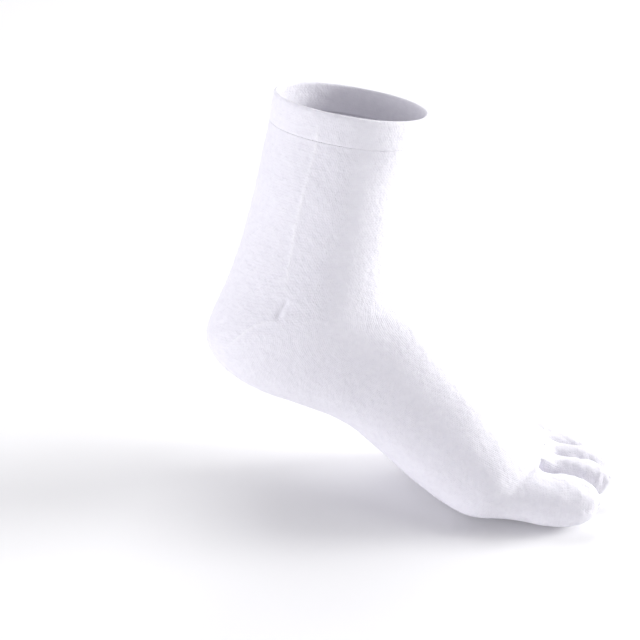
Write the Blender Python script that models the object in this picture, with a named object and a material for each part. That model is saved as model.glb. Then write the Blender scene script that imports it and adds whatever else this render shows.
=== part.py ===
"""Toe sock, left foot, in the form it takes when it is worn.

One knitted wall runs from the welt at the leg opening, round the heel and
along the foot into five separate toes. The wall is one grid of cells, cut
into ten pieces with a small gap between neighbours.

The tables are in millimetres, toes towards +X, little toe towards +Y, the
floor under the toes at z = 0. The finished object is moved so that its
origin is the middle of the leg opening.
"""
import math

import bpy
import numpy as np

# ---------------------------------------------------------------- sizes, mm
WALL = 1.3            # knitted wall
WELT_WALL = 2.4       # the welt is two layers
WELT_RAISE = 0.5      # how far the welt stands out from the leg
GAP = 0.35            # between neighbouring pieces
WELT = 16.5           # station where the welt ends
HEEL_TOP = 108.0      # stations of the heel pocket, at the back
HEEL_END = 146.0
INSTEP = 124.0        # station where leg and foot meet, at the front
FOREFOOT = 210.0      # station where the wall round the ball of the foot starts
WEB = 268.0           # last station, where the toes part

COLUMNS = (4, 4, 3, 3, 3)     # cells across each toe, big toe first
SIDE = 4                      # cells round each side of the foot
STATIONS = [0, 8, WELT, 26, 36, 46, 56, 66, 75, 84, 92, 100, HEEL_TOP, 116, INSTEP,
            131, 138, HEEL_END, 154, 162, 171, 180, 190, 200, 210, 220, 230, 240, 249, 257, 263, WEB]
TOE_STEPS = [.13, .27, .42, .57, .71, .84, .94]

# front (shin, instep, top of the foot) and back (calf, heel, sole) of each section
PROFILE = [
    # station, front x, front z, back x, back z
    (0, 55.7, 218.5, -24.8, 229.9),
    (17, 52.1, 202.8, -27.9, 213.7),
    (40, 46.0, 181.2, -33.0, 189.2),
    (62, 43.6, 160.7, -38.3, 166.6),
    (80, 41.2, 145.5, -44.7, 144.0),
    (96, 40.8, 132.5, -52.4, 121.7),
    (110, 42.1, 123.0, -61.8, 101.2),
    (121, 44.6, 117.3, -65.3, 87.2),
    (131, 48.2, 111.6, -60.2, 74.6),
    (141, 52.3, 106.5, -48.6, 65.2),
    (151, 57.8, 100.4, -32.5, 57.9),
    (161, 63.4, 93.4, -14.3, 52.9),
    (173, 69.0, 86.3, 1.3, 47.7),
    (186, 75.5, 78.8, 15.7, 40.2),
    (200, 83.7, 70.8, 30.8, 27.9),
    (214, 92.7, 61.7, 47.9, 15.6),
    (228, 101.7, 52.4, 65.7, 6.1),
    (242, 111.5, 44.3, 85.0, 1.0),
    (256, 120.8, 37.2, 105.0, 0.3),
    (268, 128.5, 32.0, 121.5, 0.8),
]
GIRTH = [
    # station, middle y, half width to the big-toe side and to the little-toe side,
    # y of the front ridge and of the back ridge from the middle,
    # height of the widest point on either side (share of the depth),
    # roundness of the front and back, lean, bow, tilt
    (0, 8.5, 35.5, 35.5, 0, 0, .50, .50, 2.10, 2.05, 0, 0, -.075),
    (40, 6.0, 34.0, 34.0, 0, 0, .52, .52, 2.10, 2.00, 0, 0, -.065),
    (80, 2.0, 31.0, 31.0, 0, 0, .55, .55, 2.05, 1.85, 0, 0, -.035),
    (96, 0.6, 32.0, 32.0, -1, 0, .56, .54, 2.00, 1.85, 0, 0, 0),
    (110, 0, 34.0, 34.0, -2, 0, .55, .52, 1.95, 1.95, 0, 0, 0),
    (131, 0, 33.0, 33.0, -4, 0, .50, .46, 1.90, 2.20, 0, 0, 0),
    (151, 0, 31.5, 33.0, -6, 1, .44, .40, 1.85, 2.35, 0, 0, 0),
    (173, 0, 32.0, 36.5, -8, 4, .44, .36, 1.85, 2.25, -.03, 0, 0),
    (200, 0, 35.5, 41.0, -10, 6, .44, .36, 1.85, 2.15, -.08, 0, 0),
    (228, 0, 44.0, 45.0, -12, 2, .44, .44, 1.95, 2.40, -.12, -.002, 0),
    (248, 0.5, 47.5, 46.5, -13, 0, .46, .50, 2.20, 2.80, -.08, -.0045, 0),
    (268, 1.5, 46.5, 46.0, -13, 0, .50, .54, 2.40, 2.80, -.02, -.0075, 0),
]
TOES = {
    # width at the web, tip x, tip y, roundness, start of the rounded tip, and
    # rows of (share of length, middle z, half width, half height)
    "big_toe": (30.5, 161.5, -26.0, 2.30, .52,
                ((0, 15.2, 14.6, 15.0), (.4, 14.4, 13.9, 14.0), (.7, 14.4, 13.5, 13.5), (1, 15.2, 12.8, 12.6))),
    "second_toe": (17.2, 168.0, -4.5, 2.25, .60,
                   ((0, 15.8, 8.1, 13.6), (.4, 16.2, 7.8, 11.8), (.7, 15.8, 7.7, 10.8), (1, 15.6, 7.5, 10.2))),
    "third_toe": (16.0, 165.5, 11.0, 2.25, .60,
                  ((0, 15.4, 7.7, 13.0), (.4, 15.4, 7.5, 11.4), (.7, 15.4, 7.3, 10.4), (1, 15.6, 7.0, 9.8))),
    "fourth_toe": (15.2, 155.5, 25.6, 2.25, .58,
                   ((0, 14.6, 7.3, 12.4), (.4, 14.2, 7.1, 10.8), (.7, 14.2, 6.9, 10.0), (1, 14.6, 6.5, 9.4))),
    "little_toe": (15.1, 140.0, 39.2, 2.25, .55,
                   ((0, 13.6, 7.3, 11.6), (.4, 12.8, 7.0, 10.2), (.7, 12.4, 6.8, 9.4), (1, 12.6, 6.4, 9.0))),
}
DENSE = 60            # samples on a quarter of a section
TOP_INSET = 3.2       # the top row of the web section ends this far inside the side
MIX_FROM = 150.0      # from here the cells gather into toe-wide columns
MIX_TO = 0.93         # share of WEB where they have done so
TOE_BLEND = 0.34      # share of a toe over which it turns round
CAP_BULGE = 0.6


# ---------------------------------------------------------------- curves
def through(rows, station):
    """A smooth curve through a table whose first column is the station."""
    rows = np.asarray(rows, float)
    x, y = rows[:, 0], rows[:, 1:]
    s = min(max(float(station), x[0]), x[-1])
    step = np.diff(x)
    slope = np.diff(y, axis=0) / step[:, None]
    m = np.zeros_like(y)
    m[0], m[-1] = slope[0], slope[-1]
    m[1:-1] = (slope[:-1] * step[1:, None] + slope[1:] * step[:-1, None]) / (step[:-1] + step[1:])[:, None]
    i = min(int(np.searchsorted(x, s, side="right")) - 1, len(step) - 1)
    h, t = step[i], (s - x[i]) / step[i]
    return ((2 * t ** 3 - 3 * t ** 2 + 1) * y[i] + (t ** 3 - 2 * t ** 2 + t) * h * m[i]
            + (-2 * t ** 3 + 3 * t ** 2) * y[i + 1] + (t ** 3 - t ** 2) * h * m[i + 1])


def ease(t):
    t = min(max(t, 0.0), 1.0)
    return t * t * (3 - 2 * t)


def section(station):
    """Closed outline at a station: front ridge, little-toe side, back, big-toe side."""
    fx, fz, bx, bz = through(PROFILE, station)
    mid, med, lat, y_f, y_b, w_m, w_l, n_f, n_b, lean, bow, tilt = through(GIRTH, station)
    th = np.linspace(0, math.pi / 2, DENSE + 1)
    c, s = np.cos(th), np.sin(th)

    def quarter(n, a0, a1, y0, y1):
        return a1 + (a0 - a1) * c ** (2 / n), y0 + (y1 - y0) * s ** (2 / n)

    q1, q2 = quarter(n_f, 1.0, w_l, y_f, lat), quarter(n_b, 0.0, w_l, y_b, lat)
    q3, q4 = quarter(n_b, 0.0, w_m, y_b, -med), quarter(n_f, 1.0, w_m, y_f, -med)
    a, y = (np.concatenate([q1[k], q2[k][::-1][1:], q3[k][1:], q4[k][::-1][1:-1]]) for k in (0, 1))
    return np.stack([bx + (fx - bx) * a + lean * y + bow * y * y, y + mid, bz + (fz - bz) * a + tilt * y], 1)


def shares(curve):
    d = np.linalg.norm(np.roll(curve, -1, 0) - curve, axis=1)
    total = np.concatenate([[0], np.cumsum(d)])
    return total / total[-1]


def points_at(curve, share):
    total, closed = shares(curve), np.vstack([curve, curve[:1]])
    f = np.mod(share, 1.0)
    return np.stack([np.interp(f, total, closed[:, k]) for k in range(3)], 1)


def web_shares():
    """Where the columns sit on the last section, so that they fall between the toes."""
    curve = section(WEB)
    total, y = shares(curve), curve[:, 1]
    widths = [TOES[name][0] for name in TOES]
    edges = y.min() + (y.max() - y.min()) * np.concatenate([[0], np.cumsum(widths)]) / sum(widths)
    edges[0], edges[-1] = y.min() + TOP_INSET, y.max() - TOP_INSET
    ys = np.concatenate([edges[k] + (edges[k + 1] - edges[k]) * np.arange(c) / c for k, c in enumerate(COLUMNS)]
                        + [edges[-1:]])
    far, near = int(np.argmax(y)), int(np.argmin(y))
    top = np.interp(ys, np.concatenate([y[near:], y[:far + 1]]), np.concatenate([total[near:-1] - 1, total[:far + 1]]))
    low = np.interp(-ys[::-1], -y[far:near + 1], total[far:near + 1])
    step = np.arange(1, SIDE) / SIDE
    return np.concatenate([top, top[-1] + (low[0] - top[-1]) * step, low, low[-1] + (top[0] + 1 - low[-1]) * step])


# ---------------------------------------------------------------- the grid
def grid():
    """Points and four-sided cells of the outer face, each cell with (piece, ring, column)."""
    across = sum(COLUMNS)
    n = 2 * across + 2 * SIDE
    even, gathered = (np.arange(n) - across / 2) / n, web_shares()
    pts, cells, tags = [], [], []
    for s in STATIONS:
        b = ease((s - MIX_FROM) / (WEB * MIX_TO - MIX_FROM))
        pts += list(points_at(section(s), even * (1 - b) + gathered * b))
    for i in range(len(STATIONS) - 1):
        for j in range(n):
            a, b = i * n + j, i * n + (j + 1) % n
            cells.append((a, a + n, b + n, b))
            tags.append(("tube", i, j))
    last = (len(STATIONS) - 1) * n
    top = [last + k for k in range(across + 1)]
    side_l = [top[-1] + 1 + k for k in range(SIDE - 1)]
    low = [side_l[-1] + 1 + k for k in range(across + 1)]
    side_m = [low[-1] + 1 + k for k in range(SIDE - 1)]
    edge = np.concatenate([[0], np.cumsum(COLUMNS)])
    webs = {}
    for k in range(1, len(COLUMNS)):
        t, b = pts[top[edge[k]]], pts[low[across - edge[k]]]
        webs[k] = list(range(len(pts), len(pts) + SIDE - 1))
        pts += [t + (b - t) * q / SIDE for q in range(1, SIDE)]
    for k, (name, (_, tip_x, tip_y, n_sup, tip_from, rows)) in enumerate(TOES.items()):
        c = COLUMNS[k]
        loop = (top[edge[k]:edge[k + 1] + 1] + (side_l if k == len(COLUMNS) - 1 else webs[k + 1])
                + low[across - edge[k + 1]:across - edge[k] + 1] + (side_m if k == 0 else webs[k][::-1]))
        m = len(loop)
        start = np.array([pts[i] for i in loop])
        base = np.array([start[:, 0].mean(), (start[:, 1].min() + start[:, 1].max()) / 2])
        length = float(np.hypot(tip_x - base[0], tip_y - base[1]))
        fwd = np.array([tip_x - base[0], tip_y - base[1], 0]) / length
        out = np.array([-fwd[1], fwd[0], 0])
        turn = (np.arange(m) - c / 2) / m * 2 * math.pi
        ca, sa = np.cos(turn), np.sin(turn)
        rr = (np.abs(ca) ** n_sup + np.abs(sa) ** n_sup) ** (-1 / n_sup)
        along, aside = (start[:, :2] - base) @ fwd[:2], (start[:, :2] - base) @ out[:2]
        ring = loop
        for q, t in enumerate(TOE_STEPS):
            z, hw, hh = through(rows, t)
            dome = 1.0 if t < tip_from else math.sqrt(1 - ((t - tip_from) / (1 - tip_from)) ** 2.3)
            b = ease(t / TOE_BLEND)
            slim = min(1.0, hw / np.abs(aside).max()) - 1
            moved = start + fwd * (length * t - along * b)[:, None] + out * (aside * slim)[:, None]
            oval = np.array([base[0], base[1], z]) + fwd * (length * t) + out * (rr * sa * hw * dome)[:, None]
            oval[:, 2] += rr * ca * hh * dome
            new = list(range(len(pts), len(pts) + m))
            pts += list(moved * (1 - b) + oval * b)
            for j in range(m):
                cells.append((ring[j], new[j], new[(j + 1) % m], ring[(j + 1) % m]))
                tags.append((name, q, j))
            ring = new
        g = {(j, 0): ring[j] for j in range(c + 1)}
        g.update({(c, q): ring[c + q] for q in range(1, SIDE)})
        g.update({(c - j, SIDE): ring[c + SIDE + j] for j in range(c + 1)})
        g.update({(0, SIDE - q): ring[2 * c + SIDE + q] for q in range(1, SIDE)})
        p = lambda a, b: pts[g[(a, b)]]
        for q in range(1, SIDE):
            for j in range(1, c):
                a, b = j / c, q / SIDE
                flat = ((1 - a) * p(0, q) + a * p(c, q) + (1 - b) * p(j, 0) + b * p(j, SIDE)
                        - (1 - a) * (1 - b) * p(0, 0) - a * (1 - b) * p(c, 0)
                        - (1 - a) * b * p(0, SIDE) - a * b * p(c, SIDE))
                bulge = (1 - (2 * a - 1) ** 2) * (1 - (2 * b - 1) ** 2)
                g[(j, q)] = len(pts)
                pts.append(flat + fwd * (length * (1 - TOE_STEPS[-1]) * math.sqrt(1 - (1 - bulge) ** 2) * CAP_BULGE))
        for q in range(SIDE):
            for j in range(c):
                cells.append((g[(j, q)], g[(j, q + 1)], g[(j + 1, q + 1)], g[(j + 1, q)]))
                tags.append((name, len(TOE_STEPS), q * c + j))
    return np.array(pts), cells, tags, n


def normals(pts, cells):
    total = np.zeros_like(pts)
    for cell in cells:
        a, b, c, d = (pts[i] for i in cell)
        total[list(cell)] += np.cross(c - a, d - b)
    return total / np.linalg.norm(total, axis=1)[:, None]


def piece_of(tag, n):
    """The piece that a cell belongs to."""
    name, i, j = tag
    if name != "tube":
        return name if i > 0 else "forefoot_tube"  # each toe starts a little ahead of the web
    s = STATIONS[i]
    back = n // 4 + sum(COLUMNS) / 2 <= j < 3 * n // 4 + sum(COLUMNS) / 2
    if s < WELT:
        return "cuff_welt"
    if s < HEEL_TOP:
        return "leg_tube"
    if s < HEEL_END and back:
        return "heel_pocket"
    if s < INSTEP:
        return "leg_tube"
    return "foot_tube" if s < FOREFOOT else "forefoot_tube"


def solid(pts, nrm, cells, raise_by, wall, fixed):
    """Closed body between the outer face of some cells and a face one wall inside it."""
    used = sorted({i for cell in cells for i in cell})
    slot = {v: k for k, v in enumerate(used)}
    owner = {}
    for cell in cells:
        for a, b in zip(cell, cell[1:] + cell[:1]):
            owner[(a, b)] = cell
    border = [(a, b) for (a, b) in owner if (b, a) not in owner]
    pull = {}
    for a, b in border:
        mid = np.mean([pts[i] for i in owner[(a, b)]], axis=0) - (pts[a] + pts[b]) / 2
        along = (pts[b] - pts[a]) / np.linalg.norm(pts[b] - pts[a])
        inward = mid - along * (mid @ along)
        inward /= np.linalg.norm(inward)
        for v in (a, b):
            pull.setdefault(v, []).append(inward)
    moved = {}
    for v, dirs in pull.items():
        d = np.sum(dirs, axis=0)
        d /= np.linalg.norm(d)
        moved[v] = np.zeros(3) if v in fixed else d * (GAP / 2) / max(0.5, float(np.mean([d @ e for e in dirs])))
    at = lambda v, off: pts[v] + moved.get(v, np.zeros(3)) + nrm[v] * off
    outer = [at(v, raise_by) for v in used]
    inner = [at(v, raise_by - wall) for v in used]
    m = len(used)
    faces = [tuple(slot[i] for i in cell) for cell in cells]
    faces += [tuple(slot[i] + m for i in cell[::-1]) for cell in cells]
    for a, b in border:           # both neighbours split a joint face along the same diagonal
        p, q = slot[a], slot[b]
        faces += [(q, p, q + m), (p, p + m, q + m)] if a < b else [(q, p, p + m), (q, p + m, q + m)]
    return np.array(outer + inner), faces


def add_object(name, verts, faces, colour):
    mesh = bpy.data.meshes.new(name)
    mesh.from_pydata([tuple(v) for v in verts], [], faces)
    mesh.validate()
    mesh.update()
    obj = bpy.data.objects.new(name, mesh)
    bpy.context.scene.collection.objects.link(obj)
    mat = bpy.data.materials.new(name + "_knit")
    mat.use_nodes = True
    shader = mat.node_tree.nodes["Principled BSDF"]
    shader.inputs["Base Color"].default_value = (*colour, 1.0)
    shader.inputs["Roughness"].default_value = 0.9
    shader.inputs["Metallic"].default_value = 0.0
    mat.diffuse_color = (*colour, 1.0)
    mesh.materials.append(mat)
    return obj


def main():
    for obj in list(bpy.data.objects):
        bpy.data.objects.remove(obj, do_unlink=True)
    pts, cells, tags, n = grid()
    nrm = normals(pts, cells)
    rim = set(range(n))
    mouth = np.array([(PROFILE[0][1] + PROFILE[0][3]) / 2, GIRTH[0][1], (PROFILE[0][2] + PROFILE[0][4]) / 2])
    pieces = {name: [] for name in ("cuff_welt", "leg_tube", "heel_pocket", "foot_tube", "forefoot_tube", *TOES)}
    for cell, tag in zip(cells, tags):
        pieces[piece_of(tag, n)].append(cell)
    for k, (name, own) in enumerate(pieces.items()):
        welt = name == "cuff_welt"
        verts, faces = solid(pts, nrm, own, WELT_RAISE if welt else 0.0, WELT_WALL if welt else WALL,
                             rim if welt else set())
        shade = 0.90 if welt else 0.88 - 0.01 * (k % 2)
        add_object(name, (verts - mouth) / 1000.0, faces, (shade, shade, shade + 0.02))


main()
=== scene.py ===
import math

import bpy
import numpy as np
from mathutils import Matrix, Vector


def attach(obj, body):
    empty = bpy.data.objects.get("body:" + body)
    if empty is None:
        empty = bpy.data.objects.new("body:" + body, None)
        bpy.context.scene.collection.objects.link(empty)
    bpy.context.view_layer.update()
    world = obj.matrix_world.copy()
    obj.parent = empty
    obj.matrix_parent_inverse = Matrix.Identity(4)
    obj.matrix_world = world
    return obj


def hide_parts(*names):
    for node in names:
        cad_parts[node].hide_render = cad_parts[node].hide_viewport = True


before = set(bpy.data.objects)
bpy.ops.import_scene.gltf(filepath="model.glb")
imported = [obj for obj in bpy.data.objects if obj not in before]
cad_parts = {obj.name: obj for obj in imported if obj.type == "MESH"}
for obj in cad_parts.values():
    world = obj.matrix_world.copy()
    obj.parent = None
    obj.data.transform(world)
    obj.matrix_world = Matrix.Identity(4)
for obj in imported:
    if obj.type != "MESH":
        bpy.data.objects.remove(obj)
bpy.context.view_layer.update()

# ================================================================ sizes, mm
# The knitted wall follows the CAD solids: these tables are the ones they are made
# from, toes towards +X, little toe towards +Y, floor under the toes at z = 0.
WALL = 1.3            # knitted wall
WELT_RAISE = 0.5      # how far the welt stands out from the leg
WELT_IN = 1.9         # how far it stands in
WELT = 16.5           # station where the welt ends
HEEL_TOP = 108.0
HEEL_END = 146.0
WEB = 268.0           # last station, where the toes part

COLUMNS = (16, 10, 10, 9, 9)  # cells across each toe, big toe first
SIDE = 10                     # cells round each side of the foot
RING_STEP = 2.3               # between stations

PROFILE = [
    # station, front x, front z, back x, back z
    (0, 55.7, 218.5, -24.8, 229.9),
    (17, 52.1, 202.8, -27.9, 213.7),
    (40, 46.0, 181.2, -33.0, 189.2),
    (62, 43.6, 160.7, -38.3, 166.6),
    (80, 41.2, 145.5, -44.7, 144.0),
    (96, 40.8, 132.5, -52.4, 121.7),
    (110, 42.1, 123.0, -61.8, 101.2),
    (121, 44.6, 117.3, -65.3, 87.2),
    (131, 48.2, 111.6, -60.2, 74.6),
    (141, 52.3, 106.5, -48.6, 65.2),
    (151, 57.8, 100.4, -32.5, 57.9),
    (161, 63.4, 93.4, -14.3, 52.9),
    (173, 69.0, 86.3, 1.3, 47.7),
    (186, 75.5, 78.8, 15.7, 40.2),
    (200, 83.7, 70.8, 30.8, 27.9),
    (214, 92.7, 61.7, 47.9, 15.6),
    (228, 101.7, 52.4, 65.7, 6.1),
    (242, 111.5, 44.3, 85.0, 1.0),
    (256, 120.8, 37.2, 105.0, 0.3),
    (268, 128.5, 32.0, 121.5, 0.8),
]
GIRTH = [
    # station, middle y, half width to the big-toe side and to the little-toe side,
    # y of the front ridge and of the back ridge from the middle,
    # height of the widest point on either side (share of the depth),
    # roundness of the front and back, lean, bow, tilt
    (0, 8.5, 35.5, 35.5, 0, 0, .50, .50, 2.10, 2.05, 0, 0, -.075),
    (40, 6.0, 34.0, 34.0, 0, 0, .52, .52, 2.10, 2.00, 0, 0, -.065),
    (80, 2.0, 31.0, 31.0, 0, 0, .55, .55, 2.05, 1.85, 0, 0, -.035),
    (96, 0.6, 32.0, 32.0, -1, 0, .56, .54, 2.00, 1.85, 0, 0, 0),
    (110, 0, 34.0, 34.0, -2, 0, .55, .52, 1.95, 1.95, 0, 0, 0),
    (131, 0, 33.0, 33.0, -4, 0, .50, .46, 1.90, 2.20, 0, 0, 0),
    (151, 0, 31.5, 33.0, -6, 1, .44, .40, 1.85, 2.35, 0, 0, 0),
    (173, 0, 32.0, 36.5, -8, 4, .44, .36, 1.85, 2.25, -.03, 0, 0),
    (200, 0, 35.5, 41.0, -10, 6, .44, .36, 1.85, 2.15, -.08, 0, 0),
    (228, 0, 44.0, 45.0, -12, 2, .44, .44, 1.95, 2.40, -.12, -.002, 0),
    (248, 0.5, 47.5, 46.5, -13, 0, .46, .50, 2.20, 2.80, -.08, -.0045, 0),
    (268, 1.5, 46.5, 46.0, -13, 0, .50, .54, 2.40, 2.80, -.02, -.0075, 0),
]
TOES = {
    # width at the web, tip x, tip y, roundness, start of the rounded tip, and
    # rows of (share of length, middle z, half width, half height)
    "big_toe": (30.5, 161.5, -26.0, 2.30, .52,
                ((0, 15.2, 14.6, 15.0), (.4, 14.4, 13.9, 14.0), (.7, 14.4, 13.5, 13.5), (1, 15.2, 12.8, 12.6))),
    "second_toe": (17.2, 168.0, -4.5, 2.25, .60,
                   ((0, 15.8, 8.1, 13.6), (.4, 16.2, 7.8, 11.8), (.7, 15.8, 7.7, 10.8), (1, 15.6, 7.5, 10.2))),
    "third_toe": (16.0, 165.5, 11.0, 2.25, .60,
                  ((0, 15.4, 7.7, 13.0), (.4, 15.4, 7.5, 11.4), (.7, 15.4, 7.3, 10.4), (1, 15.6, 7.0, 9.8))),
    "fourth_toe": (15.2, 155.5, 25.6, 2.25, .58,
                   ((0, 14.6, 7.3, 12.4), (.4, 14.2, 7.1, 10.8), (.7, 14.2, 6.9, 10.0), (1, 14.6, 6.5, 9.4))),
    "little_toe": (15.1, 140.0, 39.2, 2.25, .55,
                   ((0, 13.6, 7.3, 11.6), (.4, 12.8, 7.0, 10.2), (.7, 12.4, 6.8, 9.4), (1, 12.6, 6.4, 9.0))),
}
DENSE = 60
TOP_INSET = 3.2
MIX_FROM = 150.0
MIX_TO = 0.93
TOE_BLEND = 0.34
CAP_BULGE = 0.6
TOE_STEPS = [.045, .095, .145, .20, .255, .31, .365, .42, .475, .53, .585, .64, .69, .74, .785, .83, .87, .907, .94, .97]

MOUTH = np.array([(PROFILE[0][1] + PROFILE[0][3]) / 2, GIRTH[0][1], (PROFILE[0][2] + PROFILE[0][4]) / 2])

# The knit: needles round the tube, and the height of one course.
WALES = 132
COURSE = 1.45

# Lines on the big-toe side, found where the photograph shows them. Each row is a
# name, the height of the mark (negative for a groove), its width, and its points.
MARKS = [
    # name, height mm, width mm, points x y z in mm
    ("pressed_wale", 0.16, 2.2, ((4.6, -26.0, 226.0), (3.4, -26.2, 215.9), (2.1, -26.5, 208.0), (-1.0, -26.6, 196.3),
                                 (-4.1, -26.6, 183.7), (-6.4, -26.4, 174.1), (-8.6, -26.2, 163.9),
                                 (-11.2, -27.1, 147.1), (-13.7, -29.0, 130.5), (-14.6, -30.4, 126.0))),
    ("gore_end", -1.30, 1.5, ((-13.2, -30.7, 123.0), (-15.6, -31.3, 119.0), (-17.2, -31.9, 115.6))),
    ("gore_seam", 0.30, 1.3, ((-18.7, -31.9, 114.0), (-22.8, -31.5, 112.0), (-28.6, -30.2, 109.7), (-35.1, -28.8, 104.8),
                              (-41.2, -27.4, 98.7), (-47.1, -24.8, 92.0))),
    ("heel_line_a", -0.52, 1.15, ((-60.8, -8.0, 99.3), (-54.7, -12.9, 107.1), (-47.2, -16.8, 114.5))),
    ("heel_line_b", -0.55, 1.15, ((-62.6, -8.9, 92.0), (-55.9, -16.0, 99.2), (-47.6, -21.1, 106.1))),
    ("heel_line_c", -0.46, 1.2, ((-61.8, -10.6, 85.4), (-52.5, -21.0, 93.9), (-43.7, -26.3, 98.6))),
    ("heel_line_d", -0.44, 1.2, ((-60.0, 1.5, 105.5), (-56.3, -3.5, 111.9), (-48.8, -11.9, 119.4))),
    ("ball_line_a", -0.42, 1.05, ((113.8, -38.5, 29.0), (115.8, -40.5, 25.3), (117.2, -43.2, 21.5))),
    ("ball_line_b", -0.48, 1.0, ((118.6, -35.7, 28.3), (120.5, -39.4, 25.8), (121.4, -42.4, 22.1))),
    ("ball_line_c", -0.40, 1.05, ((124.0, -35.5, 28.2), (125.9, -39.1, 25.6), (127.0, -41.5, 21.0))),
]


THIN = {"creases": ("pressed_wale",), "seams": ("gore_seam",)}


# ================================================================ curves
def through(rows, station):
    """A smooth curve through a table whose first column is the station."""
    rows = np.asarray(rows, float)
    x, y = rows[:, 0], rows[:, 1:]
    s = min(max(float(station), x[0]), x[-1])
    step = np.diff(x)
    slope = np.diff(y, axis=0) / step[:, None]
    m = np.zeros_like(y)
    m[0], m[-1] = slope[0], slope[-1]
    m[1:-1] = (slope[:-1] * step[1:, None] + slope[1:] * step[:-1, None]) / (step[:-1] + step[1:])[:, None]
    i = min(int(np.searchsorted(x, s, side="right")) - 1, len(step) - 1)
    h, t = step[i], (s - x[i]) / step[i]
    return ((2 * t ** 3 - 3 * t ** 2 + 1) * y[i] + (t ** 3 - 2 * t ** 2 + t) * h * m[i]
            + (-2 * t ** 3 + 3 * t ** 2) * y[i + 1] + (t ** 3 - t ** 2) * h * m[i + 1])


def ease(t):
    t = min(max(t, 0.0), 1.0)
    return t * t * (3 - 2 * t)


def section(station):
    """Closed outline at a station: front ridge, little-toe side, back, big-toe side."""
    fx, fz, bx, bz = through(PROFILE, station)
    mid, med, lat, y_f, y_b, w_m, w_l, n_f, n_b, lean, bow, tilt = through(GIRTH, station)
    th = np.linspace(0, math.pi / 2, DENSE + 1)
    c, s = np.cos(th), np.sin(th)

    def quarter(n, a0, a1, y0, y1):
        return a1 + (a0 - a1) * c ** (2 / n), y0 + (y1 - y0) * s ** (2 / n)

    q1, q2 = quarter(n_f, 1.0, w_l, y_f, lat), quarter(n_b, 0.0, w_l, y_b, lat)
    q3, q4 = quarter(n_b, 0.0, w_m, y_b, -med), quarter(n_f, 1.0, w_m, y_f, -med)
    a, y = (np.concatenate([q1[k], q2[k][::-1][1:], q3[k][1:], q4[k][::-1][1:-1]]) for k in (0, 1))
    return np.stack([bx + (fx - bx) * a + lean * y + bow * y * y, y + mid, bz + (fz - bz) * a + tilt * y], 1)


def shares(curve):
    d = np.linalg.norm(np.roll(curve, -1, 0) - curve, axis=1)
    total = np.concatenate([[0], np.cumsum(d)])
    return total / total[-1]


def points_at(curve, share):
    total, closed = shares(curve), np.vstack([curve, curve[:1]])
    f = np.mod(share, 1.0)
    return np.stack([np.interp(f, total, closed[:, k]) for k in range(3)], 1)


def web_shares():
    """Where the columns sit on the last section, so that they fall between the toes."""
    curve = section(WEB)
    total, y = shares(curve), curve[:, 1]
    widths = [TOES[name][0] for name in TOES]
    edges = y.min() + (y.max() - y.min()) * np.concatenate([[0], np.cumsum(widths)]) / sum(widths)
    edges[0], edges[-1] = y.min() + TOP_INSET, y.max() - TOP_INSET
    ys = np.concatenate([edges[k] + (edges[k + 1] - edges[k]) * np.arange(c) / c for k, c in enumerate(COLUMNS)]
                        + [edges[-1:]])
    far, near = int(np.argmax(y)), int(np.argmin(y))
    top = np.interp(ys, np.concatenate([y[near:], y[:far + 1]]), np.concatenate([total[near:-1] - 1, total[:far + 1]]))
    low = np.interp(-ys[::-1], -y[far:near + 1], total[far:near + 1])
    step = np.arange(1, SIDE) / SIDE
    return np.concatenate([top, top[-1] + (low[0] - top[-1]) * step, low, low[-1] + (top[0] + 1 - low[-1]) * step])


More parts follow.
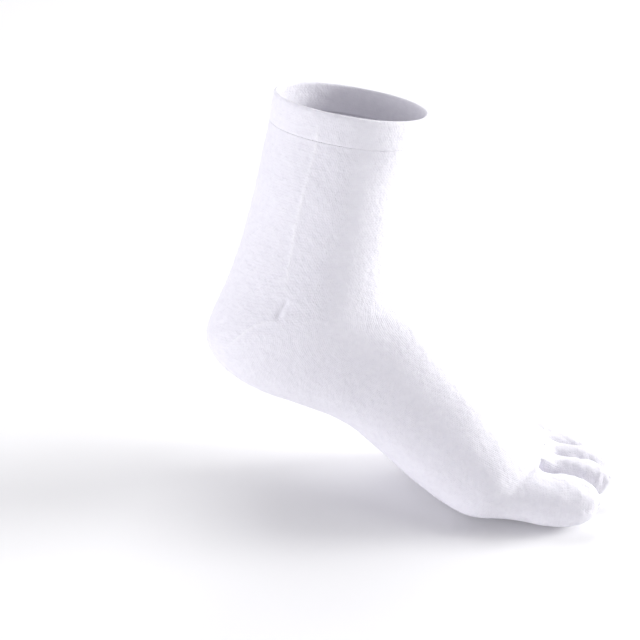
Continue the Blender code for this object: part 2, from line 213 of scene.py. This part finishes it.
# ================================================================ the wall's cells
def grid(stations):
    """Points and four-sided cells of the outer face, with the wale and course of each corner."""
    across = sum(COLUMNS)
    n = 2 * across + 2 * SIDE
    even, gathered = (np.arange(n) - across / 2) / n, web_shares()
    pts, cells, stitch = [], [], []
    for s in stations:
        b = ease((s - MIX_FROM) / (WEB * MIX_TO - MIX_FROM))
        pts += list(points_at(section(s), even * (1 - b) + gathered * b))
    wale = lambda j: WALES * j / n
    for i in range(len(stations) - 1):
        c0, c1 = stations[i] / COURSE, stations[i + 1] / COURSE
        for j in range(n):
            a, b = i * n + j, i * n + (j + 1) % n
            cells.append((a, a + n, b + n, b))
            stitch.append(((wale(j), c0), (wale(j), c1), (wale(j + 1), c1), (wale(j + 1), c0)))
    last = (len(stations) - 1) * n
    top = [last + k for k in range(across + 1)]
    side_l = [top[-1] + 1 + k for k in range(SIDE - 1)]
    low = [side_l[-1] + 1 + k for k in range(across + 1)]
    side_m = [low[-1] + 1 + k for k in range(SIDE - 1)]
    edge = np.concatenate([[0], np.cumsum(COLUMNS)])
    webs, toe_of = {}, {}
    for k in range(1, len(COLUMNS)):
        t, b = pts[top[edge[k]]], pts[low[across - edge[k]]]
        webs[k] = list(range(len(pts), len(pts) + SIDE - 1))
        pts += [t + (b - t) * q / SIDE for q in range(1, SIDE)]
    end = stations[-1] / COURSE
    for k, (name, (_, tip_x, tip_y, n_sup, tip_from, rows)) in enumerate(TOES.items()):
        c = COLUMNS[k]
        loop = (top[edge[k]:edge[k + 1] + 1] + (side_l if k == len(COLUMNS) - 1 else webs[k + 1])
                + low[across - edge[k + 1]:across - edge[k] + 1] + (side_m if k == 0 else webs[k][::-1]))
        m = len(loop)
        start = np.array([pts[i] for i in loop])
        base = np.array([start[:, 0].mean(), (start[:, 1].min() + start[:, 1].max()) / 2])
        length = float(np.hypot(tip_x - base[0], tip_y - base[1]))
        fwd = np.array([tip_x - base[0], tip_y - base[1], 0]) / length
        out = np.array([-fwd[1], fwd[0], 0])
        turn = (np.arange(m) - c / 2) / m * 2 * math.pi
        ca, sa = np.cos(turn), np.sin(turn)
        rr = (np.abs(ca) ** n_sup + np.abs(sa) ** n_sup) ** (-1 / n_sup)
        along, aside = (start[:, :2] - base) @ fwd[:2], (start[:, :2] - base) @ out[:2]
        girth = 2 * math.pi * (rows[1][2] + rows[1][3]) / 2
        per = girth / m / 1.75                      # wales to a cell
        u0 = wale(int(edge[k]))
        ring, before = loop, 0.0
        for q, t in enumerate(TOE_STEPS):
            z, hw, hh = through(rows, t)
            dome = 1.0 if t < tip_from else math.sqrt(1 - ((t - tip_from) / (1 - tip_from)) ** 2.3)
            b = ease(t / TOE_BLEND)
            slim = min(1.0, hw / np.abs(aside).max()) - 1
            moved = start + fwd * (length * t - along * b)[:, None] + out * (aside * slim)[:, None]
            oval = np.array([base[0], base[1], z]) + fwd * (length * t) + out * (rr * sa * hw * dome)[:, None]
            oval[:, 2] += rr * ca * hh * dome
            new = list(range(len(pts), len(pts) + m))
            pts += list(moved * (1 - b) + oval * b)
            c0, c1 = end + before * length / COURSE, end + t * length / COURSE
            for j in range(m):
                cells.append((ring[j], new[j], new[(j + 1) % m], ring[(j + 1) % m]))
                stitch.append(((u0 + per * j, c0), (u0 + per * j, c1), (u0 + per * (j + 1), c1), (u0 + per * (j + 1), c0)))
            ring, before = new, t
        g = {(j, 0): ring[j] for j in range(c + 1)}
        g.update({(c, q): ring[c + q] for q in range(1, SIDE)})
        g.update({(c - j, SIDE): ring[c + SIDE + j] for j in range(c + 1)})
        g.update({(0, SIDE - q): ring[2 * c + SIDE + q] for q in range(1, SIDE)})
        p = lambda a, b: pts[g[(a, b)]]
        for q in range(1, SIDE):
            for j in range(1, c):
                a, b = j / c, q / SIDE
                flat = ((1 - a) * p(0, q) + a * p(c, q) + (1 - b) * p(j, 0) + b * p(j, SIDE)
                        - (1 - a) * (1 - b) * p(0, 0) - a * (1 - b) * p(c, 0)
                        - (1 - a) * b * p(0, SIDE) - a * b * p(c, SIDE))
                bulge = (1 - (2 * a - 1) ** 2) * (1 - (2 * b - 1) ** 2)
                g[(j, q)] = len(pts)
                pts.append(flat + fwd * (length * (1 - TOE_STEPS[-1]) * math.sqrt(1 - (1 - bulge) ** 2) * CAP_BULGE))
        c1 = end + TOE_STEPS[-1] * length / COURSE
        for q in range(SIDE):
            for j in range(c):
                cells.append((g[(j, q)], g[(j, q + 1)], g[(j + 1, q + 1)], g[(j + 1, q)]))
                uu = [u0 + per * (j + d) for d in (0, 0, 1, 1)]
                vv = [c1 + 1.1 * (q + d) for d in (0, 1, 1, 0)]
                stitch.append(tuple(zip(uu, vv)))
        toe_of[name] = (base, fwd, out, length)
    return np.array(pts), np.array(cells), np.array(stitch, float), toe_of, n


def smoother(pts, cells, stitch):
    """One round of Catmull-Clark on four-sided cells, which keeps the open rim a smooth loop."""
    m, count = len(cells), len(pts)
    face_pt = pts[cells].mean(1)
    pairs = np.stack([cells, np.roll(cells, -1, 1)], 2).reshape(-1, 2)
    edges, index, uses = np.unique(np.sort(pairs, 1), axis=0, return_inverse=True, return_counts=True)
    index = index.reshape(-1)
    mid = pts[edges].mean(1)
    total = np.zeros_like(mid)
    np.add.at(total, index, face_pt[np.repeat(np.arange(m), 4)])
    inner = uses == 2
    edge_pt = mid.copy()
    edge_pt[inner] = (mid[inner] * 2 + total[inner]) / 4
    q, k = np.zeros_like(pts), np.zeros(count)
    np.add.at(q, cells.reshape(-1), np.repeat(face_pt, 4, 0))
    np.add.at(k, cells.reshape(-1), 1)
    r, e = np.zeros_like(pts), np.zeros(count)
    for col in (0, 1):
        np.add.at(r, edges[:, col], mid)
        np.add.at(e, edges[:, col], 1)
    new = (q / k[:, None] + 2 * r / e[:, None] + (k[:, None] - 3) * pts) / k[:, None]
    rim_r, rim_e = np.zeros_like(pts), np.zeros(count)
    for col in (0, 1):
        np.add.at(rim_r, edges[~inner, col], mid[~inner])
        np.add.at(rim_e, edges[~inner, col], 1)
    rim = rim_e > 0
    new[rim] = pts[rim] / 2 + rim_r[rim] / rim_e[rim, None] / 2
    first_edge, first_face = count, count + len(edges)
    along = index.reshape(m, 4) + first_edge
    back = np.roll(along, 1, 1)
    centre = np.repeat((np.arange(m) + first_face)[:, None], 4, 1)
    fine = np.stack([cells, along, centre, back], 2).reshape(-1, 4)
    s_mid = (stitch + np.roll(stitch, -1, 1)) / 2
    s_centre = np.repeat(stitch.mean(1)[:, None], 4, 1)
    fine_stitch = np.stack([stitch, s_mid, s_centre, np.roll(s_mid, 1, 1)], 2).reshape(-1, 4, 2)
    return np.vstack([new, edge_pt, face_pt]), fine, fine_stitch


def normals(pts, cells):
    total = np.zeros_like(pts)
    a, b, c, d = (pts[cells[:, k]] for k in range(4))
    face = np.cross(c - a, d - b)
    for k in range(4):
        np.add.at(total, cells[:, k], face)
    return total / np.linalg.norm(total, axis=1)[:, None]


# ================================================================ cloth relief
def hashed(ix, iy, iz, seed):
    """The same pseudo-random number for the same lattice point, from 0 to 1."""
    v = np.sin(ix * 127.1 + iy * 311.7 + iz * 74.7 + seed * 53.3) * 43758.5453
    return v - np.floor(v)


def lumps(p, size, seed):
    """Smooth noise from -1 to 1 with features of the given size."""
    q = p / size
    base = np.floor(q)
    f = q - base
    f = f * f * (3 - 2 * f)
    total = 0
    for dx in (0, 1):
        for dy in (0, 1):
            for dz in (0, 1):
                w = ((f[:, 0] if dx else 1 - f[:, 0]) * (f[:, 1] if dy else 1 - f[:, 1])
                     * (f[:, 2] if dz else 1 - f[:, 2]))
                total = total + w * hashed(base[:, 0] + dx, base[:, 1] + dy, base[:, 2] + dz, seed)
    return total * 2 - 1


def near_line(p, line):
    """Distance of each point to a line of points, and how far along the line it is."""
    line = np.array(line, float)
    seg = np.linalg.norm(np.diff(line, axis=0), axis=1)
    run = np.concatenate([[0], np.cumsum(seg)])
    best, where = np.full(len(p), 1e9), np.zeros(len(p))
    for k in range(len(line) - 1):
        a, b = line[k], line[k + 1]
        t = np.clip((p - a) @ (b - a) / seg[k] ** 2, 0, 1)
        d = np.linalg.norm(p - (a + t[:, None] * (b - a)), axis=1)
        hit = d < best
        best[hit], where[hit] = d[hit], (run[k] + t[hit] * seg[k]) / run[-1]
    return best, where


def signed_line(p, nrm, line):
    """Distance to a line, negative on one side of it, and a weight that fades at its ends."""
    line = np.array(line, float)
    d, where = near_line(p, line)
    best, sign = np.full(len(p), 1e9), np.ones(len(p))
    for k in range(len(line) - 1):
        a, b = line[k], line[k + 1]
        t = np.clip((p - a) @ (b - a) / ((b - a) @ (b - a)), 0, 1)
        dist = np.linalg.norm(p - (a + t[:, None] * (b - a)), axis=1)
        hit = dist < best
        best[hit] = dist[hit]
        sign[hit] = np.sign(np.einsum("ij,ij->i", np.cross(b - a, p - a), nrm)[hit] + 1e-12)
    return d * sign, np.clip(np.minimum(where, 1 - where) * 7, 0, 1) * (d < 6)


def thin_marks(p, nrm, names):
    """The nearest of some thin lines, on both sides of the sock."""
    dist, weight = np.full(len(p), 9.0), np.zeros(len(p))
    for name, _, _, line in MARKS:
        if name not in names:
            continue
        for far in (False, True):
            pts_line = np.array(line, float)
            if far:
                pts_line[:, 1] = mirrored(pts_line)
            d, w = signed_line(p, nrm, pts_line)
            hit = np.abs(d) < np.abs(dist)
            dist[hit], weight[hit] = d[hit], w[hit]
    return dist, weight


def relief(p, nrm, toe_of):
    """How far the knit stands out from the plain wall at each point."""
    out = 0.22 * lumps(p, 17.0, 3) + 0.14 * lumps(p, 8.0, 11) + 0.07 * lumps(p, 4.2, 23)
    for name, height, width, line in MARKS:
        for far in (False, True):
            pts_line = np.array(line, float)
            if far:
                if name.startswith("ball"):
                    continue
                pts_line[:, 1] = mirrored(pts_line)
            d, t = near_line(p, pts_line)
            fade = np.clip(np.minimum(t, 1 - t) * 6, 0, 1) if not name.startswith("gore_end") else 1.0
            out = out + height * fade * np.exp(-(d / width) ** 2)
    for k, (name, (base, fwd, aside, length)) in enumerate(toe_of.items()):
        rel = p[:, :2] - base
        f, a = rel @ fwd[:2], rel @ aside[:2]
        near = np.clip(1 - np.abs(a) / (TOES[name][0] * 0.62), 0, 1) > 0
        reach = (f > 0) & near & (p[:, 0] > 118)
        share = np.clip(f / length, 0, 1.2)
        mask = np.where(reach, np.clip((share - 0.15) / 0.35, 0, 1), 0)
        out = out + mask * (0.44 * lumps(p * (1.0, 1.0, 1.25), 5.6, 31 + k) + 0.26 * lumps(p, 3.2, 47 + k))
        # short puckers where the toe is closed
        tip = np.where(reach, np.clip((share - 0.50) / 0.2, 0, 1), 0)
        out = out - 0.42 * tip * np.exp(-(lumps(p * (0.8, 1.0, 1.0), 6.5, 61 + k) / 0.17) ** 2)
    return out


def mirrored(line):
    """The y of a line's points carried through the middle of the leg to the other side."""
    s_z = np.interp(line[:, 2], [70, 100, 140, 180, 224], [0.0, 0.0, 1.6, 5.6, 8.5])
    return 2 * s_z - line[:, 1]


def base_mesh(name, verts, faces, material, layers):
    mesh = bpy.data.meshes.new(name)
    mesh.from_pydata([tuple(v) for v in verts], [], [tuple(int(i) for i in f) for f in faces])
    for layer_name, corner in layers.items():
        layer = mesh.uv_layers.new(name=layer_name)
        layer.data.foreach_set("uv", np.ascontiguousarray(corner.reshape(-1, 2), np.float32).ravel())
    mesh.materials.append(material)
    mesh.update()
    obj = bpy.data.objects.new(name, mesh)
    bpy.context.scene.collection.objects.link(obj)
    mesh.polygons.foreach_set("use_smooth", [True] * len(mesh.polygons))
    mesh.set_sharp_from_angle(angle=math.radians(62))
    return obj


# ================================================================ materials
def link_math(nt, op, a, b=None, c=None):
    node = nt.nodes.new("ShaderNodeMath")
    node.operation = op
    for k, v in enumerate((a, b, c)):
        if v is None:
            continue
        if isinstance(v, (int, float)):
            node.inputs[k].default_value = v
        else:
            nt.links.new(v, node.inputs[k])
    return node.outputs[0]


def knit_material(name, tint, depth, rib):
    """Plain cotton knit: two legs to a stitch, uneven yarn, a fibre haze on top."""
    mat = bpy.data.materials.new(name)
    mat.use_nodes = True
    nt = mat.node_tree
    shader = nt.nodes["Principled BSDF"]
    uv = nt.nodes.new("ShaderNodeUVMap")
    uv.uv_map = "stitches"
    split = nt.nodes.new("ShaderNodeSeparateXYZ")
    nt.links.new(uv.outputs[0], split.inputs[0])
    u, v = split.outputs[0], split.outputs[1]
    place = nt.nodes.new("ShaderNodeTexCoord")

    def noise(scale, detail, rough=0.55):
        node = nt.nodes.new("ShaderNodeTexNoise")
        node.inputs["Scale"].default_value = scale
        node.inputs["Detail"].default_value = detail
        node.inputs["Roughness"].default_value = rough
        nt.links.new(place.outputs["Object"], node.inputs["Vector"])
        return node.outputs["Fac"]

    drift, mottle, haze = noise(95, 2), noise(310, 2.4), noise(1900, 2)
    # the yarn wanders a little from its wale and course
    wander = link_math(nt, "MULTIPLY_ADD", drift, 0.9, -0.45)
    uw = link_math(nt, "ADD", u, wander)
    vw = link_math(nt, "ADD", v, wander)
    cell = link_math(nt, "FRACT", uw)
    d = link_math(nt, "ABSOLUTE", link_math(nt, "SUBTRACT", cell, 0.5))
    leg = link_math(nt, "SINE", link_math(nt, "MULTIPLY", d, 2 * math.pi))
    turn = link_math(nt, "SINE", link_math(nt, "MULTIPLY", link_math(nt, "MULTIPLY_ADD", d, 1.3, vw), 2 * math.pi))
    stitch = link_math(nt, "MULTIPLY", leg, link_math(nt, "MULTIPLY_ADD", turn, rib, 0.62))
    height = link_math(nt, "ADD", link_math(nt, "MULTIPLY", stitch, 0.42),
                       link_math(nt, "ADD", link_math(nt, "MULTIPLY", mottle, 2.6),
                                 link_math(nt, "MULTIPLY", haze, 0.24)))

    def line_mask(layer_name, width):
        layer = nt.nodes.new("ShaderNodeUVMap")
        layer.uv_map = layer_name
        parts = nt.nodes.new("ShaderNodeSeparateXYZ")
        nt.links.new(layer.outputs[0], parts.inputs[0])
        # the yarn lets the line waver and thin out here and there
        off = link_math(nt, "ADD", parts.outputs[0], link_math(nt, "MULTIPLY_ADD", mottle, 1.6, -0.8))
        bell = link_math(nt, "EXPONENT", link_math(nt, "MULTIPLY", link_math(nt, "MULTIPLY", off, off), -1 / width ** 2))
        patchy = link_math(nt, "MULTIPLY_ADD", drift, 2.6, -0.35)
        return link_math(nt, "MULTIPLY", bell, link_math(nt, "MULTIPLY", parts.outputs[1], patchy))

    crease, seam = line_mask("creases", 1.1), line_mask("seams", 0.8)
    # the crease and seam masks raise the bump and also drive the painted highlight below
    marks = link_math(nt, "MULTIPLY_ADD", seam, 0.32, link_math(nt, "MULTIPLY", crease, 0.45))
    height = link_math(nt, "MULTIPLY_ADD", marks, 1.2, height)
    bump = nt.nodes.new("ShaderNodeBump")
    bump.inputs["Distance"].default_value = depth
    bump.inputs["Strength"].default_value = 1.0
    nt.links.new(height, bump.inputs["Height"])
    nt.links.new(bump.outputs[0], shader.inputs["Normal"])

    # painted shade: the low places between the yarns are painted a little darker, with tone that differs at random
    # from the mottle
    shade = link_math(nt, "MULTIPLY_ADD", stitch, 0.045, link_math(nt, "MULTIPLY_ADD", mottle, 0.16, -0.08))
    ramp = nt.nodes.new("ShaderNodeMapRange")
    ramp.inputs["From Min"].default_value = -0.05
    ramp.inputs["From Max"].default_value = 0.07
    nt.links.new(shade, ramp.inputs["Value"])
    mix = nt.nodes.new("ShaderNodeMix")
    mix.data_type = "RGBA"
    mix.inputs[6].default_value = (tint[0] * 0.915, tint[1] * 0.91, tint[2] * 0.93, 1)
    mix.inputs[7].default_value = (*tint, 1)
    nt.links.new(ramp.outputs[0], mix.inputs[0])
    # painted highlight: the pressed crease and the gore seam are painted paler, for the light their raised ridges
    # catch
    crease_highlight = nt.nodes.new("ShaderNodeMix")
    crease_highlight.data_type = "RGBA"
    crease_highlight.inputs[7].default_value = (0.955, 0.95, 0.975, 1)
    nt.links.new(mix.outputs[2], crease_highlight.inputs[6])
    nt.links.new(marks, crease_highlight.inputs[0])
    nt.links.new(crease_highlight.outputs[2], shader.inputs["Base Color"])
    rough = nt.nodes.new("ShaderNodeMapRange")
    rough.inputs["To Min"].default_value = 0.86
    rough.inputs["To Max"].default_value = 0.98
    nt.links.new(mottle, rough.inputs["Value"])
    nt.links.new(rough.outputs[0], shader.inputs["Roughness"])
    shader.inputs["Specular IOR Level"].default_value = 0.22
    shader.inputs["Sheen Weight"].default_value = 0.12
    shader.inputs["Sheen Roughness"].default_value = 0.55
    shader.inputs["Sheen Tint"].default_value = (0.97, 0.97, 1.0, 1)
    return mat


# ================================================================ pieces
def knitted_wall(material):
    """Leg, heel, foot and five toes in one knitted wall with an inner face."""
    stations = list(np.arange(WELT + 0.04, WEB, RING_STEP))
    stations[-1] = WEB
    pts, coarse, coarse_stitch, toe_of, n = grid(stations)
    few = len(pts)
    pts, cells, stitch = smoother(pts, coarse, coarse_stitch)
    nrm = normals(pts, cells)
    rise = relief(pts, nrm, toe_of)
    outer = pts + nrm * rise[:, None]
    # the inner face keeps the coarser cells, whose corners come first
    soft = 0.22 * lumps(pts[:few], 17.0, 3) + 0.14 * lumps(pts[:few], 8.0, 11)
    inner = pts[:few] + nrm[:few] * (soft - WALL)[:, None]
    count = len(pts)
    half = {}
    for a, b in np.stack([cells, np.roll(cells, -1, 1)], 2).reshape(-1, 2):
        half[(int(a), int(b))] = True
    rim_next = {a: b for a, b in half if (b, a) not in half}
    faces = [tuple(c) for c in cells] + [tuple(c[::-1] + count) for c in coarse]
    corner = [stitch.reshape(-1, 2), coarse_stitch[:, ::-1].reshape(-1, 2)]
    rim = []
    for a in sorted(k for k in rim_next if k < few):
        m = rim_next[a]
        b = rim_next[m]
        rim.append((b, m, a, a + count, b + count))
    corner.append(np.zeros((len(rim) * 5, 2)))
    corner = np.vstack(corner)
    blank = len(coarse) * 4 + len(rim) * 5
    layers = {"stitches": corner}
    for layer_name, names in THIN.items():
        d, w = thin_marks(pts, nrm, names)
        layers[layer_name] = np.vstack([np.stack([d[cells], w[cells]], 2).reshape(-1, 2), np.tile((9.0, 0.0), (blank, 1))])
    verts = (np.vstack([outer, inner]) - MOUTH) / 1000
    return base_mesh("knitted_wall", verts, faces + rim, material, layers), n


def welt_band(material, n):
    """The turned double-layer edge, swept round the leg opening."""
    loop = [(16.47, -0.30), (16.41, -0.09), (16.12, 0.05), (15.6, 0.14), (14.6, .22), (13.0, .29), (11, .34), (9.5, .38),
            (8, .41), (6.5, .45), (5, .50), (3.5, .52), (2.2, .50), (1.2, .40), (0.55, .16), (0.15, -.20), (0.0, -.70),
            (0.15, -1.2), (0.55, -1.56), (1.2, -1.80), (2.2, -1.9), (4, -1.9), (6, -1.9), (8, -1.9), (10, -1.9),
            (12, -1.9), (14, -1.88), (15.2, -1.8), (16.0, -1.6), (16.40, -1.3), (16.47, -0.8)]
    across = sum(COLUMNS)
    around = 2 * n
    share = (np.arange(around) / 2 - across / 2) / n
    eps = 0.6
    rows = []
    for s, off in loop:
        here = points_at(section(s), share)
        lo, hi = points_at(section(max(s - eps, 0)), share), points_at(section(s + eps), share)
        side = np.roll(here, -1, 0) - np.roll(here, 1, 0)
        nrm = np.cross(hi - lo, side)
        nrm /= np.linalg.norm(nrm, axis=1)[:, None]
        if np.mean(np.einsum("ij,ij->i", nrm, here - here.mean(0))) < 0:
            nrm = -nrm
        rows.append((here, nrm, off))
    pts = []
    for here, nrm, off in rows:
        wave = 0.22 * lumps(here, 17.0, 3) + 0.14 * lumps(here, 8.0, 11) + 0.07 * lumps(here, 4.2, 23)
        pts.append(here + nrm * (off + wave)[:, None])
    m = len(loop)
    faces, corner = [], []
    run = np.concatenate([[0], np.cumsum([math.dist(loop[k], loop[(k + 1) % m]) for k in range(m)])])
    for k in range(m):
        k2 = (k + 1) % m
        for j in range(around):
            j2 = (j + 1) % around
            faces.append((k * around + j, k * around + j2, k2 * around + j2, k2 * around + j))
            u0, u1 = WALES * j / around, WALES * (j + 1) / around
            v0, v1 = -run[k] / COURSE, -run[k + 1] / COURSE
            corner.append(((u0, v0), (u1, v0), (u1, v1), (u0, v1)))
    pts, nrm = np.vstack(pts), np.vstack([r[1] for r in rows])
    layers = {"stitches": np.array(corner)}
    outside = np.repeat([off > -1.0 for _, off in loop], around)
    index = np.array(faces)
    for layer_name, names in THIN.items():
        d, w = thin_marks(pts, nrm, names)
        w = np.where(outside, w, 0.0)
        layers[layer_name] = np.stack([d[index], w[index]], 2)
    return base_mesh("welt_band", (pts - MOUTH) / 1000, faces, material, layers)


WHITE = (0.893, 0.883, 0.930)
plain = knit_material("plain_cotton_knit", WHITE, 0.00026, 0.38)
double = knit_material("double_cotton_knit", (0.903, 0.894, 0.938), 0.00024, 0.30)

wall, columns = knitted_wall(plain)
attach(wall, "root")
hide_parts("leg_tube", "heel_pocket", "foot_tube", "forefoot_tube", *TOES)

welt = welt_band(double, columns)
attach(welt, "root")
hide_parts("cuff_welt")

# ================================================================ floor, light, camera
FLOOR = -MOUTH[2] / 1000 - 0.0004


def lit_plane(name, size, z, colour, rough):
    mesh = bpy.data.meshes.new(name)
    mesh.from_pydata([(-size, -size, z), (size, -size, z), (size, size, z), (-size, size, z)], [], [(0, 1, 2, 3)])
    mat = bpy.data.materials.new(name)
    mat.use_nodes = True
    shader = mat.node_tree.nodes["Principled BSDF"]
    shader.inputs["Base Color"].default_value = (*colour, 1)
    shader.inputs["Roughness"].default_value = rough
    shader.inputs["Specular IOR Level"].default_value = 0.1
    mesh.materials.append(mat)
    obj = bpy.data.objects.new(name, mesh)
    bpy.context.scene.collection.objects.link(obj)
    return obj


lit_plane("floor", 6.0, FLOOR, (0.97, 0.97, 0.97), 0.9)

AIM = Vector((-0.01545, -0.0085, -0.1242))


def softbox(name, turn, height, distance, size, power, colour=(1, 1, 1)):
    """An area light seen from the object at an angle from the camera's side, right positive."""
    to_cam = Vector((0.1736, -0.9848, 0))
    right = Vector((0.9848, 0.1736, 0))
    t, h = math.radians(turn), math.radians(height)
    way = (to_cam * math.cos(t) + right * math.sin(t)) * math.cos(h) + Vector((0, 0, math.sin(h)))
    light = bpy.data.lights.new(name, "AREA")
    light.shape = "RECTANGLE"
    light.size, light.size_y = size
    light.energy = power
    light.color = colour
    obj = bpy.data.objects.new(name, light)
    obj.location = AIM + way * distance
    obj.rotation_euler = (-way).to_track_quat("-Z", "Y").to_euler()
    bpy.context.scene.collection.objects.link(obj)
    return obj


softbox("key", 97, 15, 3.0, (1.0, 1.0), 86)
softbox("key_high", 82, 48, 3.0, (1.2, 1.2), 17)
softbox("fill_front", -48, 6, 3.0, (1.8, 1.8), 32, (0.96, 0.955, 1.0))
softbox("fill_side", -78, 4, 3.0, (1.8, 1.8), 55, (0.96, 0.955, 1.0))
softbox("back", 180, 58, 3.6, (3.0, 3.0), 76)

world = bpy.context.scene.world or bpy.data.worlds.new("studio")
bpy.context.scene.world = world
world.use_nodes = True
back = world.node_tree.nodes.get("Background") or world.node_tree.nodes.new("ShaderNodeBackground")
back.inputs["Color"].default_value = (0.94, 0.915, 1.0, 1)
back.inputs["Strength"].default_value = 0.215

cam_data = bpy.data.cameras.new("camera")
cam_data.lens = 70.3125
cam_data.sensor_width = 36.0
cam_data.clip_start, cam_data.clip_end = 0.05, 30
camera = bpy.data.objects.new("camera", cam_data)
camera.location = (0.09380, -0.62810, 0.18266)
camera.rotation_euler = (AIM - camera.location).to_track_quat("-Z", "Y").to_euler()
bpy.context.scene.collection.objects.link(camera)
bpy.context.scene.camera = camera
bpy.context.scene.view_settings.view_transform = "Standard"
